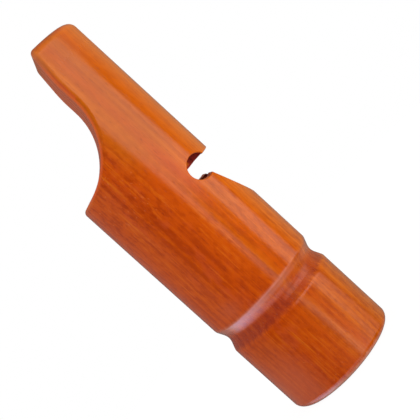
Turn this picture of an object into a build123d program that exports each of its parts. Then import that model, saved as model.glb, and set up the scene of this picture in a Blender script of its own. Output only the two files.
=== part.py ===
from build123d import *
import math
import os

# Bird call: a mouth-blown flue whistle turned from one billet of hardwood.
# It stands on its closed end. +Z runs along the turning axis up to the mouth, +X points
# out of the window, and the origin is the centre of the foot. All sizes are millimetres.

# Turned outside
body_length = 85.5
body_diameter = 26.0
mouth_edge_radius = 1.7
foot_edge_radius = 1.5

# Bore, drilled right through, and the glue line round what is set into it
bore_diameter = 19.0
bore_edge_chamfer = 0.4
glue_line = 0.05

# Lanyard groove, a rounded V placed from the foot
groove_height = 20.3
groove_width = 5.5
groove_flank_angle = 23.5
groove_root_radius = 2.9
groove_shoulder_radius = 1.2

# Beak, placed from the mouth: its floor lies above the axis and lifts towards the lips
beak_length = 27.3
beak_floor = 1.2
lift_length = 8.0
lift_height = 1.0
lift_blend_radius = 30.0
scoop_radius = 15.0
heel_slope = 15.0
beak_edge_radius = 1.0

# Window, placed from the mouth: the square lip, the ramp and a cross hole between them.
# Under the lip the hole only comes in from each side, and the web left between keeps the
# windway's roof whole. The two drops are measured from the roof of the bore.
lip_distance = 36.2
lip_overhang = 1.5
cross_hole_diameter = 5.3
cross_hole_drop = 1.1
lip_web_width = 7.0
ramp_foot_drop = 0.2
ramp_angle = 21.2
window_edge_radius = 0.2

# Pieces set into the bore
windway_entry = 1.4
windway_exit = 0.4
plug_length = 10.0
plug_recess = 0.6
plug_edge_chamfer = 0.5

# How far a cutting shape reaches past the wood, how near counts as touching, and the
# most of the wood beside it that one rounded edge may take up
overrun = 1.0
tolerance = 0.001
edge_share = 0.7

# Places worked out from the sizes above
body_radius = body_diameter / 2
bore_radius = bore_diameter / 2
set_in_radius = bore_radius - glue_line
wall = body_radius - bore_radius
mouth_edge = min(mouth_edge_radius, edge_share * wall)
beak_edge = min(beak_edge_radius, edge_share * (wall - mouth_edge))
foot_edge = min(foot_edge_radius, edge_share * (wall - bore_edge_chamfer))
heel_z = body_length - beak_length
scoop_corner_z = heel_z + (body_radius + beak_floor) * math.tan(math.radians(heel_slope))
lift_z = body_length - lift_length
lift_slope = lift_height / lift_length
lift_blend_run = lift_blend_radius * math.tan(math.atan(lift_slope) / 2)
scoop_room = lift_z - scoop_corner_z - lift_blend_run - overrun
scoop = min(scoop_radius, scoop_room / math.tan(math.radians((90 - heel_slope) / 2)))
lip_z = body_length - lip_distance
cross_hole_radius = cross_hole_diameter / 2
cross_hole_x = bore_radius - cross_hole_drop
cross_hole_z = lip_z + lip_overhang - cross_hole_radius
ramp_foot_x = bore_radius - ramp_foot_drop
ramp_foot_z = cross_hole_z - math.sqrt(cross_hole_radius**2 - (ramp_foot_x - cross_hole_x) ** 2)
ramp_run = 1 / math.tan(math.radians(ramp_angle))


def stays_beyond(edge, radius):
    """True where the ends and the middle of an edge lie no nearer the axis than a radius."""
    places = (edge @ 0, edge @ 0.5, edge @ 1)
    return all(math.hypot(place.X, place.Y) > radius - tolerance for place in places)


def runs_round_beak(edge):
    return stays_beyond(edge, body_radius - mouth_edge)


def runs_on_outside(edge):
    return stays_beyond(edge, body_radius)


# Side view of the wood taken away under the beak, shared by the body and the block
with BuildSketch(Plane.XZ) as beak_cut:
    with BuildLine():
        cut_x = -body_radius - overrun
        under = FilletPolyline(
            (beak_floor + lift_slope * (lift_length + overrun), body_length + overrun),
            (beak_floor, lift_z),
            (beak_floor, scoop_corner_z),
            (cut_x, heel_z - overrun * math.tan(math.radians(heel_slope))),
            radius=[lift_blend_radius, scoop],
        )
        Polyline(under @ 1, (cut_x, body_length + overrun), under @ 0)
    make_face()

# Window: the cross hole opened upwards between the lip and the ramp, less the web
with BuildPart() as window_cut:
    with BuildSketch(Plane.XZ):
        with Locations((cross_hole_x, cross_hole_z)):
            Circle(cross_hole_radius)
        with BuildLine():
            Polyline(
                (cross_hole_x, cross_hole_z),
                (cross_hole_x, lip_z),
                (body_radius + overrun, lip_z),
                (body_radius + overrun, ramp_foot_z - (body_radius + overrun - ramp_foot_x) * ramp_run),
                (ramp_foot_x, ramp_foot_z),
                close=True,
            )
        make_face()
    extrude(amount=body_radius + overrun, both=True)
    with Locations((cross_hole_x, 0, lip_z)):
        Box(
            cross_hole_diameter + overrun,
            lip_web_width,
            cross_hole_diameter,
            align=(Align.CENTER, Align.CENTER, Align.MIN),
            mode=Mode.SUBTRACT,
        )

# Body: the turned tube, then the beak, its softened edges and the window
with BuildPart() as body:
    with BuildSketch(Plane.XZ) as turned_half:
        with BuildLine():
            groove_depth = groove_width / 2 * math.tan(math.radians(groove_flank_angle))
            turned = FilletPolyline(
                (bore_radius, 0),
                (body_radius, 0),
                (body_radius, groove_height - groove_width / 2),
                (body_radius - groove_depth, groove_height),
                (body_radius, groove_height + groove_width / 2),
                (body_radius, body_length),
                (bore_radius, body_length),
                radius=[
                    foot_edge,
                    groove_shoulder_radius,
                    groove_root_radius,
                    groove_shoulder_radius,
                    mouth_edge,
                ],
            )
            Line(turned @ 1, turned @ 0)
        make_face()
    revolve(axis=Axis.Z)
    foot_bore_edge = body.edges().group_by(Axis.Z)[0].sort_by(SortBy.RADIUS)[0]
    chamfer(foot_bore_edge, bore_edge_chamfer)
    extrude(beak_cut.sketch, amount=body_radius + overrun, both=True, mode=Mode.SUBTRACT)
    beak_edges = body.edges(Select.LAST).filter_by(runs_round_beak)
    beak_edges += body.edges(Select.LAST).group_by(Axis.Z)[-1]
    fillet(beak_edges, beak_edge)
    add(window_cut.part, mode=Mode.SUBTRACT)
    fillet(body.edges(Select.LAST).filter_by(runs_on_outside), window_edge_radius)
body.part.label = "body"

# Windway block: a dowel in the mouth end, flat on top, cut off flush with the beak
with BuildPart() as windway_block:
    with BuildSketch(Plane.XY.offset(lip_z)):
        Circle(set_in_radius)
    extrude(amount=lip_distance)
    with BuildSketch(Plane.XZ):
        with BuildLine():
            Polyline(
                (bore_radius - windway_exit, lip_z),
                (bore_radius, lip_z),
                (bore_radius, body_length),
                (bore_radius - windway_entry, body_length),
                close=True,
            )
        make_face()
    extrude(amount=bore_radius, both=True, mode=Mode.SUBTRACT)
    extrude(beak_cut.sketch, amount=body_radius + overrun, both=True, mode=Mode.SUBTRACT)
    mouth_face = windway_block.faces().sort_by(Axis.Z)[-1]
    fillet(mouth_face.edges().sort_by(Axis.X)[0], beak_edge)
windway_block.part.label = "windway_block"

# End plug: a stopper set just inside the foot
with BuildPart() as end_plug:
    with BuildSketch(Plane.XY.offset(plug_recess)):
        Circle(set_in_radius)
    extrude(amount=plug_length)
    chamfer(end_plug.edges().filter_by(GeomType.CIRCLE), plug_edge_chamfer)
end_plug.part.label = "end_plug"

os.makedirs("parts", exist_ok=True)
for piece in (body, windway_block, end_plug):
    export_step(piece.part, f"parts/{piece.part.label}.step")
    print(piece.part.label, piece.part.bounding_box(), f"{piece.part.volume:.1f} mm3")
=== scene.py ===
# %% [markdown]
# # A turned wooden bird call
# A bird call of this kind is a short flue whistle. One piece of hardwood is turned, bored, stained
# orange and lacquered, a block is glued under the beak to leave a thin windway, and a plug stops
# the far end. The solid pieces come from the CAD model in their real place and size, and their
# shapes are right as they are, so this lesson gives them their finish, a small white studio and
# the camera of the photograph.

# %% Load the solid pieces
import math

import bpy
from mathutils import Matrix, Vector

MM = 0.001
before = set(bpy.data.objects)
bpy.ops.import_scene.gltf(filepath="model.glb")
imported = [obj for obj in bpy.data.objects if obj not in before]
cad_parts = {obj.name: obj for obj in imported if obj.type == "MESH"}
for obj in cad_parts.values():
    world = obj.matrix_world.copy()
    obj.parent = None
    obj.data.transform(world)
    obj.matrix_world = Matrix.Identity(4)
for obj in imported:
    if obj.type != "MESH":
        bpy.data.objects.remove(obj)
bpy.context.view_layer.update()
bpy.ops.object.select_all(action="DESELECT")

# %% [markdown]
# A finish is a small sum: grain plus pores, times a stain. Wiring such sums node by node is slow
# to read, so one class stands for a socket, and ordinary arithmetic on it adds the Math nodes.
# Every other kind of node comes from its one method `add`.


# %% A socket that can be calculated with
class Wire:
    """One output socket of a shader. Sums and products of wires add Math nodes to its tree."""

    def __init__(self, socket):
        self.socket = socket
        self.tree = socket.id_data

    def add(self, kind, settings=None, sockets=None, out=0):
        """Adds a node: its settings first, then the value or the wire for each of its sockets."""
        node = self.tree.nodes.new(kind)
        for name, value in (settings or {}).items():
            if name == "stops":
                set_stops(node.color_ramp, value)
            else:
                setattr(node, name, value)
        for name, value in (sockets or {}).items():
            if isinstance(value, Wire):
                value.feed(node, name)
            else:
                node.inputs[name].default_value = value
        return Wire(node.outputs[out])

    def feed(self, node, name):
        """Plugs the wire into a socket of a node that is already there."""
        self.tree.links.new(self.socket, node.inputs[name])

    def math(self, operation, first, second=0.0):
        return self.add("ShaderNodeMath", {"operation": operation}, {0: first, 1: second})

    def __add__(self, other):
        return self.math("ADD", self, other)

    def __sub__(self, other):
        return self.math("SUBTRACT", self, other)

    def __rsub__(self, other):
        return self.math("SUBTRACT", other, self)

    def __mul__(self, other):
        return self.math("MULTIPLY", self, other)

    __radd__ = __add__
    __rmul__ = __mul__

    def step(self, start, end):
        """A soft step: 0 below start, 1 above end. With end below start it falls instead."""
        return self.add(
            "ShaderNodeMapRange",
            {"interpolation_type": "SMOOTHSTEP"},
            {"Value": self, "From Min": start, "From Max": end},
        )

    def between(self, start, end, soft):
        """1 between two values and 0 outside them, with soft ends."""
        return self.step(start - soft, start + soft) * self.step(end + soft, end - soft)

    def mix(self, low, high, blend="MIX"):
        """The colour low where the wire is 0, and high (or low times high) where it is 1."""
        settings = {"data_type": "RGBA", "blend_type": blend}
        return self.add("ShaderNodeMix", settings, {0: self, 6: low, 7: high}, 2)


def set_stops(ramp, stops):
    """Gives a colour ramp its stops, each a position and a colour."""
    while len(ramp.elements) < len(stops):
        ramp.elements.new(1.0)
    for element, (position, colour) in zip(ramp.elements, stops):
        element.position = position
        element.color = colour


def new_material(name):
    """An empty finish: the material, its shader, and a wire of the spot on the object in mm."""
    material = bpy.data.materials.new(name)
    material.use_nodes = True
    tree = material.node_tree
    metres = Wire(tree.nodes.new("ShaderNodeTexCoord").outputs["Object"])
    spot = metres.add("ShaderNodeVectorMath", {"operation": "SCALE"}, {0: metres, "Scale": 1 / MM})
    return material, tree.nodes["Principled BSDF"], spot


def axes(vector):
    """The three numbers of a vector wire."""
    parts = vector.add("ShaderNodeSeparateXYZ", None, {0: vector}).socket.node
    return [Wire(parts.outputs[number]) for number in range(3)]


def distance(first, second):
    return first.math("SQRT", first * first + second * second)


def wear(node_name, material):
    """Puts a finish on a solid piece."""
    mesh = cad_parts[node_name].data
    mesh.materials.clear()
    mesh.materials.append(material)
    print(material.name, "on", node_name, "with", len(material.node_tree.nodes), "nodes")


# %% [markdown]
# The wood is straight-grained. Each fibre runs along the turning axis, so every pattern here is
# solid noise that is stretched along Z: it shows as streaks on the sides and as dots on the ends.
# Picture textures would have to be wrapped round the turned shape, and solid noise cuts through
# it as real grain does.


# %% Grain
GRAIN_ROUGHNESS = 0.6
RING_WANDER = 4.0


def grain(spot, across, along, detail=2.0, seed=0.0):
    """Noise with features so many millimetres across the grain and along it."""
    place = {0: spot, 1: (1 / across, 1 / across, 1 / along), 2: (seed, seed, seed)}
    where = spot.add("ShaderNodeVectorMath", {"operation": "MULTIPLY_ADD"}, place)
    noise = {"Vector": where, "Scale": 1.0, "Detail": detail, "Roughness": GRAIN_ROUGHNESS}
    return spot.add("ShaderNodeTexNoise", None, noise)


def growth_rings(x, y, wander, pith, spacing):
    """Year rings round a pith outside the billet, as waves from 0 to 1."""
    away = distance(x - pith[0], y - pith[1]) + wander * RING_WANDER
    return away.math("SINE", away * (2 * math.pi / spacing)) * 0.5 + 0.5


# %% [markdown]
# The colour ramp across the billet is golden over the window side, orange in the middle and redder
# underneath. That change is painted light and shade, lighter where the light falls and deeper
# below, and its two narrow golden bands are a painted sheen. Over it lie thin layers, each a tone
# with a
# share from 0 to 1: streaks, blotches and pores that darken the stain, pale fibres that lift it,
# and specks that are painted glints. A list of layers is easier to read and to change than a chain
# of separate mixes.

# %% Stain colours
BILLET_RADIUS = 13.0
PITH = (-31, 24)
RING_SPACING = 1.9
# Stain with painted light: golden on the window side, redder below, painted sheen at 0.61 and 0.76
STAIN_AND_SIDE_LIGHT = [
    (0.00, (0.58, 0.076, 0.0022, 1)),
    (0.16, (0.62, 0.086, 0.0016, 1)),
    (0.32, (0.59, 0.072, 0.0016, 1)),
    (0.53, (0.60, 0.082, 0.0014, 1)),
    (0.61, (0.62, 0.112, 0.0018, 1)),
    (0.68, (0.60, 0.086, 0.0014, 1)),
    (0.76, (0.64, 0.122, 0.0022, 1)),
    (0.85, (0.60, 0.106, 0.0024, 1)),
    (1.00, (0.60, 0.160, 0.0050, 1)),
]
STREAK = (0.62, 0.44, 0.40, 1)
PORE = (0.50, 0.30, 0.25, 1)
PALE_FIBRE = (0.78, 0.19, 0.012, 1)
# Paler golden tone of the beak's side
PALE_GOLD = (0.56, 0.145, 0.006, 1)
# Painted reflection: mauve from a pale surface below
REFLECTED_MAUVE = (0.58, 0.080, 0.020, 1)
# Painted glint of lacquer nibs, partly pale dust
NIB_GLINT = (0.72, 0.20, 0.06, 1)
END_GRAIN = (0.62, 0.50, 0.50, 1)
# Brighter tone of the scoop and the floor under the beak
BRIGHT_UNDER_BEAK = (0.86, 0.115, 0.004, 1)
# Painted shade
PAINTED_SHADE = (0.80, 0.87, 0.90, 1)
print("stain in", len(STAIN_AND_SIDE_LIGHT), "stops across", 2 * BILLET_RADIUS, "mm of wood")


def layered(colour, layers):
    """Lays tones over a colour, each with its share and its way of blending."""
    for share, tone, blend in layers:
        colour = share.mix(colour, tone, blend)
    return colour


# %% [markdown]
# Some places differ from the rest. The scoop and the floor under the beak are brighter. Painted
# shade darkens the side of the beak, the wood beside the window and the foot. Mauve patches on the
# underside, most of all at the heel, above the groove and at the foot, are a painted reflection of
# a pale surface below. All these places are known in millimetres, so each is a mask worked out from
# the spot itself: x from the axis towards the window, z up from the foot. Painting them by hand
# would need a UV map.

# %% Places on the wood
SCOOP_X, SCOOP_Z, SCOOP_RADIUS = -13.8, 73.5, 15.0
print("scoop of", SCOOP_RADIUS, "mm radius, centred", SCOOP_Z, "mm above the foot")


def under_beak(x, z):
    """Wire that is 1 on the scoop and on the floor under the beak."""
    from_centre = distance(x - SCOOP_X, z - SCOOP_Z)
    on_scoop = from_centre.between(SCOOP_RADIUS - 0.4, SCOOP_RADIUS + 0.4, 0.25)
    on_floor = x.step(2.3, 1.6)
    past_scoop = z.step(SCOOP_Z - 0.2, SCOOP_Z + 0.2)
    return on_scoop * (1 - past_scoop) + on_floor * past_scoop


def mauve_reflection(x, z, clouds):
    """Wire of the mauve patches, a painted reflection of a pale surface below."""
    underside = clouds * x.step(1, -6) * (1 - x.step(-6, -10) * 0.8)
    heel = z.between(52, 58, 3) * x.between(-8, -5, 2) * 0.6
    above_groove = z.between(24, 27, 2) * x.between(-9, -4, 2) * 0.8
    foot = z.step(17, 3) * x.step(0, -9) * 0.9
    return underside + heel + above_groove + foot


def shaded_places(x, z):
    """Wire of the painted shade on the beak's side, beside the window and at the foot."""
    beak_and_window = z.step(48, 60) + z.between(37, 46, 3) * 0.35
    foot = z.step(18, 15) * 0.3
    return beak_and_window * x.between(5, 8.5, 1.5) + foot


# %% [markdown]
# Now the billet itself. The grain's sizes, across and along the fibres in millimetres, are read
# from the photograph. Streaks, fibres and a short mottle together make the dark marks, and their
# low values make the pale fibres. The beak's side is paler and smoother, so both fade there.
# The heel has blotches, and painted glints of lacquer nibs, partly pale dust, lie near the heel and
# the foot. The two ends show end grain, which drinks more stain and is darker.
# Each piece has its own seed, so that no two show the same marks.


# %% Stained wood
def stained(spot, seed):
    """The stained wood of one billet: its colour, and wires of its streaks, fibres and pores."""
    x, y, z = axes(spot)
    rings = growth_rings(x, y, grain(spot, 7, 70, 2, seed), PITH, RING_SPACING)
    streak = grain(spot, 1.0, 30, 3, seed + 3)
    fibre = grain(spot, 0.26, 9, 3, seed + 5)
    mottle = grain(spot, 1.0, 2.2, 3, seed + 7)
    pores = grain(spot, 0.22, 1.8, 1, seed + 11).step(0.62, 0.74)
    clouds = grain(spot, 2.2, 4.5, 2, seed + 13).step(0.48, 0.66)
    specks = grain(spot, 0.45, 0.7, 1, seed + 17.3).step(0.66, 0.76)

    dark = (streak * 0.46 + fibre * 0.14 + mottle * 0.40 + rings * 0.04).step(0.46, 0.64)
    pale = (streak * 0.5 + fibre * 0.3 + mottle * 0.2).step(0.48, 0.34)
    faded = 1 - z.step(41, 54) * x.step(-3, 2) * 0.48
    pale_beak_side = z.step(52, 62) * x.step(7, 3) * x.step(-4, 1)
    blotch = mottle.step(0.50, 0.60) * z.step(40, 50) * x.step(1, -3)
    # Painted glints of lacquer nibs near the heel and the foot, partly pale dust
    nib_glints = specks * x.step(2, -4) * (z.step(44, 52) + z.step(12, 6))
    ends = z.step(84.6, 85.5) * 0.6 + z.step(0.3, 0.05)

    # The ramp across the billet paints the side light: golden on the window side, redder below
    across = x * (0.5 / BILLET_RADIUS) + 0.5
    colour = spot.add("ShaderNodeValToRGB", {"stops": STAIN_AND_SIDE_LIGHT}, {0: across})
    layers = [
        # Paler golden tone on the beak's side
        (pale_beak_side * 0.5, PALE_GOLD, "MIX"),
        # Painted reflection: mauve patches on the underside
        (mauve_reflection(x, z, clouds) * 0.5, REFLECTED_MAUVE, "MIX"),
        (pale * faded * 0.5, PALE_FIBRE, "MIX"),
        (dark * faded * 0.62, STREAK, "MULTIPLY"),
        (blotch * 0.22, STREAK, "MULTIPLY"),
        (pores * 0.35, PORE, "MULTIPLY"),
        (nib_glints * 0.4, NIB_GLINT, "MIX"),
        # Painted shade on the beak's side, beside the window and at the foot
        (shaded_places(x, z), PAINTED_SHADE, "MULTIPLY"),
        # Brighter tone on the scoop and the floor under the beak
        (under_beak(x, z) * (streak * 0.7 + 0.25), BRIGHT_UNDER_BEAK, "MIX"),
        (ends * 0.6, END_GRAIN, "MULTIPLY"),
    ]
    return layered(colour, layers), streak, fibre, pores


# %% [markdown]
# Over the stain lies clear lacquer. It is thin, so it follows the fibres and sinks a little into
# the pores, which a shallow bump shows. Bare wood has none, and is rough. The shader's own gloss
# stands for the lacquer, because its colour comes from the stain below.

# %% Lacquer
LACQUER_INDEX = 1.5
POLISHED, BARE_ROUGH = 0.03, 0.7
RELIEF_DEPTH = 0.05 * MM
LACQUER_RELIEF = 0.2
print("lacquer with an index of", LACQUER_INDEX, "over a relief of", RELIEF_DEPTH / MM, "mm")


def uneven(shader, spot, height, strength):
    """Gives a surface a shallow relief."""
    values = {"Strength": strength, "Distance": RELIEF_DEPTH, "Height": height}
    spot.add("ShaderNodeBump", None, values).feed(shader, "Normal")


def lacquer(shader, spot, colour, streak, fibre, pores, bare, rubbed):
    """Clear lacquer over the stain: duller where it is rubbed, and missing on bare wood."""
    colour.feed(shader, "Base Color")
    rough = streak * 0.09 + fibre * 0.04 + pores * 0.08 + rubbed + POLISHED
    (rough * (1 - bare) + bare * BARE_ROUGH).feed(shader, "Roughness")
    uneven(shader, spot, streak * 0.5 + fibre * 0.5 - pores * 0.6, LACQUER_RELIEF)
    shader.inputs["IOR"].default_value = LACQUER_INDEX


# %% [markdown]
# The body is lacquered all over its outside. The bore and the cross hole were never reached by
# the brush, and stay bare and dark, except below the window, where a patch of painted light lies
# on the bare wood. The edges of all that happens round the groove are ragged along the grain, so
# they follow a height to which the streaks are added.

# %% Body: wood and bare places
BODY_SEED = 210.0
BARE = (0.34, 0.014, 0.001, 1)
# Painted light on bare wood
BARE_IN_LIGHT = (0.85, 0.24, 0.06, 1)
material, shader, spot = new_material("lacquered_wood")
x, y, z = axes(spot)
colour, streak, fibre, pores = stained(spot, BODY_SEED)
radius = distance(x, y)
hole = radius.step(12.8, 12.4) * x.step(11.0, 10.7) * z.between(45.5, 52.0, 0.1)
bore = radius.step(9.62, 9.54)
bare = hole.math("MAXIMUM", hole, bore)
# Painted light on the bare wood below the window
in_light = bare * z.between(43.2, 47.6, 0.4) * x.step(4, 6)
ragged = z + (streak - 0.5) * 0.8
print("stained wood of", len(material.node_tree.nodes), "nodes")

# %% [markdown]
# The lanyard groove is darkened with painted shade, darkest on the side that faces the mouth, and a
# little past its edges. Above the groove a painted highlight lies pale along the shoulder, and a
# painted reflection lies there as a haze.

# %% Body: groove
# Each band of painted shade: its lower and upper height, how soft its edges are, and how dark it is
SHADE_BANDS = [
    (17.9, 21.6, 0.5, 0.30),
    (18.1, 20.6, 0.5, 0.42),
    (22.5, 22.9, 0.3, 0.25),
    (16.4, 17.6, 0.6, 0.16),
]
# Painted shade in the groove and just above it
groove_shade = ragged.between(23.6, 26.0, 1.0) * x.step(-5, 0) * 0.12
for low, high, soft, depth in SHADE_BANDS:
    groove_shade = groove_shade + ragged.between(low, high, soft) * depth
# Painted highlight along the groove's shoulder
shoulder_highlight = ragged.between(22.0, 23.4, 0.4) * x.step(9, 4) * 1.5
# Painted reflection as a haze above the groove
groove_reflection = z.between(23.8, 27, 1.5) * x.between(-10, -6, 2) * 0.7
print("groove stained in", len(SHADE_BANDS), "pools")

# %% [markdown]
# Use shows in other places: thin stain on the edges of the mouth, the lip and the heel, and a tip
# dulled by lips, with a pale painted sheen on its lower edge. Painted shade makes a dark line on
# the beak's rounded edge, which lifts with the floor. A painted reflection lies as a haze on the
# foot, and its rim carries a pale painted highlight, with a whiter painted glint on each side.

# %% Body: wear and painted light
mouth_edge = ragged.between(83.9, 84.6, 0.5)
lip_edge = ragged.between(49.3, 49.6, 0.2) * x.step(8, 9)
heel_edge = ragged.between(58.0, 58.9, 0.3) * x.step(-9, -12)
# Painted sheen at the tip's lower edge
tip_sheen = z.step(79, 84) * x.step(3.6, 1.8) * 0.9
# Painted shade: a dark line on the beak's rounded edge, which lifts with the floor
above_floor = x - z.step(77.5, 85.5)
beak_edge_shade = above_floor.between(1.6, 1.95, 0.25) * z.between(74, 79, 4)
# Painted reflection as a haze on the foot
foot_reflection = z.step(17, 6) * x.step(-4, -9)
# Painted highlight on the foot's rim, and a whiter painted glint on each side
rim_light = ragged.between(0.1, 0.8, 0.4) * (x.step(12, 3) * 0.7 + 0.15)
rim_glint = ragged.between(0.2, 1.1, 0.35) * x.between(-9, -5, 1.8) * (fibre * 0.7 + 0.25)
print("wear worked out with", len(material.node_tree.nodes), "nodes so far")

# %% [markdown]
# The layers go on one after another. Bare wood hides what is under it, so it follows the stain,
# and the painted light on the bare wood, the painted sheen and highlights, the painted haze and the
# painted shade on the beak lie on top.

# %% Body: colour
# Painted shade tint, for the groove and the beak's edge
SHADE_TINT = (0.62, 0.36, 0.40, 1)
# Painted sheen
PAINTED_SHEEN = (0.60, 0.17, 0.09, 1)
# Painted highlight on the rim
RIM_HIGHLIGHT = (0.70, 0.33, 0.23, 1)
# Painted glint on the rim
WHITE_GLINT = (0.80, 0.52, 0.50, 1)
# Painted reflection, as a haze
REFLECTED_HAZE = (0.58, 0.115, 0.045, 1)
layers = [
    (groove_shade, SHADE_TINT, "MULTIPLY"),
    ((mouth_edge + lip_edge + heel_edge) * 0.3, PALE_FIBRE, "MIX"),
    (bare, BARE, "MIX"),
    (in_light, BARE_IN_LIGHT, "MIX"),
    ((shoulder_highlight + tip_sheen) * 0.36, PAINTED_SHEEN, "MIX"),
    (rim_light, RIM_HIGHLIGHT, "MIX"),
    (rim_glint, WHITE_GLINT, "MIX"),
    ((foot_reflection + groove_reflection) * 0.5, REFLECTED_HAZE, "MIX"),
    (beak_edge_shade * 0.7, SHADE_TINT, "MULTIPLY"),
]
colour = layered(colour, layers)
print("body coloured in", len(layers), "layers over the stain")

# %% [markdown]
# The gloss differs too. The groove, the tip, the wood under the beak and the foot's face are
# rubbed dull. On the side of the groove that faces the foot wax has built up and makes a second
# coat, which is the shader's own Coat.

# %% Body: gloss
WAX_ROUGHNESS = 0.2
in_groove = ragged.between(17.9, 22.6, 0.6)
tip = z.step(72, 83)
foot_face = z.step(0.12, 0.04)
rubbed = in_groove * 0.16 + tip * 0.22 + under_beak(x, z) * 0.18 + foot_face * 0.35
wax = ragged.between(21.3, 23.3, 0.7)
wax.feed(shader, "Coat Weight")
shader.inputs["Coat Roughness"].default_value = WAX_ROUGHNESS
lacquer(shader, spot, colour, streak, fibre, pores, bare, rubbed)
wear("body", material)

# %% [markdown]
# The windway block is a dowel of the same wood. It was stained and lacquered with the body where
# it shows under the beak, and its flat top and inner end, which make the windway, stay bare.

# %% Windway block finish
BLOCK_SEED = 40.0
BLOCK_RUBBED = 0.18
material, shader, spot = new_material("block_wood")
x, _, z = axes(spot)
colour, streak, fibre, pores = stained(spot, BLOCK_SEED)
flat_top, inner_end = x.step(7.5, 7.9), z.step(49.9, 49.5)
bare = flat_top.math("MAXIMUM", flat_top, inner_end)
colour = bare.mix(colour, BARE)
lacquer(shader, spot, colour, streak, fibre, pores, bare, BLOCK_RUBBED)
wear("windway_block", material)

# %% [markdown]
# The end plug shows only its end grain, rubbed with stain and left matt.

# %% End plug finish
PLUG_SEED = 80.0
PLUG_RELIEF = 0.3
material, shader, spot = new_material("plug_wood")
colour, streak, fibre, pores = stained(spot, PLUG_SEED)
colour.feed(shader, "Base Color")
(0.45 + fibre * 0.2).feed(shader, "Roughness")
uneven(shader, spot, streak - pores, PLUG_RELIEF)
wear("end_plug", material)

# %% [markdown]
# The call stands on a plain white floor, a hair below its foot so that the two faces don't fight.
# The camera sees the floor almost as bright as the white behind it, and a small share of ordinary
# shading keeps the call's shadow on it.

# %% Floor
FLOOR_RADIUS, FLOOR_CORNERS = 160 * MM, 96
FLOOR_DROP = 0.02 * MM
FLOOR_WHITE = (0.9, 0.9, 0.9, 1)
GLOW, GLOW_SHARE = 1.05, 0.9
bpy.ops.mesh.primitive_circle_add(
    vertices=FLOOR_CORNERS, radius=FLOOR_RADIUS, fill_type="NGON"
)
floor = bpy.context.object
floor.name = "floor"
floor.location.z = -FLOOR_DROP
floor.visible_glossy = False
material, shader, spot = new_material("white_floor")
shader.inputs["Base Color"].default_value = FLOOR_WHITE
shader.inputs["Roughness"].default_value = 1.0
shader.inputs["Specular IOR Level"].default_value = 0.0
tree = material.node_tree
rays = tree.nodes.new("ShaderNodeLightPath")
seen = Wire(rays.outputs["Is Camera Ray"])
seen = seen.math("MAXIMUM", seen, Wire(rays.outputs["Is Transmission Ray"]))
glow = spot.add("ShaderNodeEmission", None, {"Color": (1, 1, 1, 1), "Strength": GLOW})
shaders = {0: seen * GLOW_SHARE, 1: Wire(shader.outputs[0]), 2: glow}
both = spot.add("ShaderNodeMixShader", None, shaders)
both.feed(tree.nodes["Material Output"], "Surface")
floor.data.materials.append(material)
print("floor", FLOOR_RADIUS * 2 / MM, "mm across")

# %% [markdown]
# The lacquer shows the studio around it. Turn is the compass angle of a direction in degrees, from
# the camera's side towards the window side of the call, and rise is its height, from -1 to 1. Both
# are worked out from the direction in which a ray leaves the scene, so nothing has to be built.

# %% Studio directions
world = bpy.data.worlds.new("studio")
bpy.context.scene.world = world
world.use_nodes = True
tree = world.node_tree
rays = tree.nodes.new("ShaderNodeLightPath")
camera_ray = Wire(rays.outputs["Is Camera Ray"])
glossy_ray = Wire(rays.outputs["Is Glossy Ray"])
clear_ray = Wire(rays.outputs["Is Transmission Ray"])
toward = Wire(tree.nodes.new("ShaderNodeTexCoord").outputs["Generated"])
x, y, rise = axes(toward)
turn = x.math("ARCTAN2", x, 0 - y) * (180 / math.pi)
print("world", world.name, "with", len(tree.nodes), "nodes so far")

# %% [markdown]
# A wide white wall on the right makes the broad sheen, and a dark stand in front of it splits the
# sheen in two. The stand is short: above it the beak shows one band, and deep down, where the foot
# looks, the two bands lean over and run together. Start and end are turns, bottom and top rises.

# %% Studio wall and stand
WALL, WALL_START, WALL_END, WALL_BOTTOM, WALL_TOP = 1.25, 18, 90, -0.38, 0.42
STAND_START, STAND_END, STAND_BOTTOM, STAND_TOP = 29, 59, -0.29, -0.062
STAND_SOFT = 4
deep = rise.step(-0.17, -0.27)
merged = rise.step(-0.25, -0.31)
skewed = turn + rise.step(-0.06, 0.10) * 7 - deep * 9
beside_stand = rise.between(STAND_BOTTOM, STAND_TOP, 0.02)
stand = skewed.between(STAND_START, STAND_END, STAND_SOFT) * beside_stand
stand = stand * (1 - merged * 0.6) * (1 - deep * 0.3)
stand_edge = turn.step(STAND_START + STAND_SOFT, STAND_START - STAND_SOFT) * beside_stand
far_end = deep * turn.step(66, 84)
wall = skewed.between(WALL_START, WALL_END, 5) * rise.between(WALL_BOTTOM, WALL_TOP, 0.06)
wall = wall * (1 - far_end * 0.6) * (1 - stand) * (1 - stand_edge * 0.25)
wall = wall * (1 - deep * (1 - merged) * 0.3)
print("wall from", WALL_START, "to", WALL_END, "degrees, stand from", STAND_START, "to", STAND_END)

# %% [markdown]
# A cool light low on the left shines along the groove. The rest of the room, from the right round
# the back to the left, is dim, most of all right behind the call.

# %% Studio room and fill light
ROOM, ROOM_START, ROOM_END = 0.20, 105, -65
FILL, FILL_START, FILL_END, FILL_BOTTOM, FILL_TOP = 2.1, -122, 40, -0.88, -0.43
DARKEST = 0.01
behind = turn.math("ABSOLUTE", turn).step(152, 172)
room = (1 - turn.between(ROOM_END, ROOM_START, 14)) * (1 - behind * 0.5)
leaning = rise - turn.step(-50, 20) * 0.10
fill = turn.between(FILL_START, FILL_END, 20) * (1 - turn.step(-90, 30) * 0.6)
fill = fill * leaning.between(FILL_BOTTOM, FILL_TOP, 0.12)
reflected = wall * WALL + room * ROOM + fill * FILL + DARKEST
print("fill light from", FILL_START, "to", FILL_END, "degrees in a room of", ROOM)

# %% [markdown]
# Only reflected rays see these shapes. To the camera the background is white, and all other rays
# meet an even light, at which the stain renders about as it is written.

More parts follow.
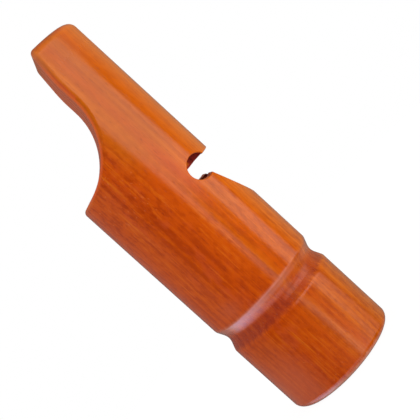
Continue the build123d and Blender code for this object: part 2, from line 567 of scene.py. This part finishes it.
# %% Studio light
AMBIENT = 0.82
WHITE, COOL = (1, 1, 1, 1), (0.64, 0.68, 1.0, 1)
plain = camera_ray.math("MAXIMUM", camera_ray, clear_ray)
lit = glossy_ray * reflected + (1 - glossy_ray) * AMBIENT
strength = plain + (1 - plain) * lit
background = tree.nodes["Background"]
(fill * glossy_ray).mix(WHITE, COOL).feed(background, "Color")
strength.feed(background, "Strength")
print("even light of", AMBIENT, "from all sides")

# %% [markdown]
# One large soft lamp on the right shades the turned shape from bright on its window side to deep
# red below. It is kept out of the reflections, where the white wall already stands for it.

# %% Key lamp
KEY_PLACE, KEY_AIM = (0.4, -0.25, 0.06), Vector((0, 0, 0.04))
KEY_RADIUS, KEY_POWER = 0.3, 1.01
bpy.ops.object.light_add(type="AREA", radius=KEY_RADIUS, location=KEY_PLACE)
key = bpy.context.object
key.name = "key_lamp"
key.data.energy = KEY_POWER
key.visible_glossy = False
key.rotation_euler = (KEY_AIM - key.location).to_track_quat("-Z", "Y").to_euler()
print("key lamp of", round(key.data.energy, 2), "W")

# %% [markdown]
# The camera is the photograph's. Its angles, distance and focal length were fitted to the call's
# outline in the picture. The call lies aslant there, so the camera is rolled and the call stands
# upright in its own frame.

# %% Camera
azimuth, elevation, roll = (math.radians(angle) for angle in (-4.500, 4.955, 47.593))
CAMERA_DISTANCE, NEAR_CLIP = 200.837 * MM, 10 * MM
FOCAL_PIXELS, FRAME_PIXELS, SENSOR = 1011.596, 420, 36
AIM_HEIGHT, AIM_RIGHT, AIM_DOWN = 42.5 * MM, 4.2604 * MM, 2.1919 * MM
level = math.cos(elevation)
back = Vector((math.sin(azimuth) * level, -math.cos(azimuth) * level, math.sin(elevation)))
right = Vector((math.cos(azimuth), math.sin(azimuth), 0))
up = back.cross(right)
target = Vector((0, 0, AIM_HEIGHT)) + right * AIM_RIGHT - up * AIM_DOWN
across = right * math.cos(roll) - up * math.sin(roll)
upward = right * math.sin(roll) + up * math.cos(roll)
bpy.ops.object.camera_add()
camera = bpy.context.object
camera.matrix_world = Matrix((across, upward, back)).transposed().to_4x4()
camera.location = target + back * CAMERA_DISTANCE
camera.data.sensor_width = SENSOR
camera.data.lens = FOCAL_PIXELS / FRAME_PIXELS * SENSOR
camera.data.clip_start = NEAR_CLIP
bpy.context.scene.camera = camera
bpy.context.scene.view_settings.view_transform = "Standard"
print("camera", round(camera.data.lens, 1), "mm lens at", round(CAMERA_DISTANCE / MM), "mm")
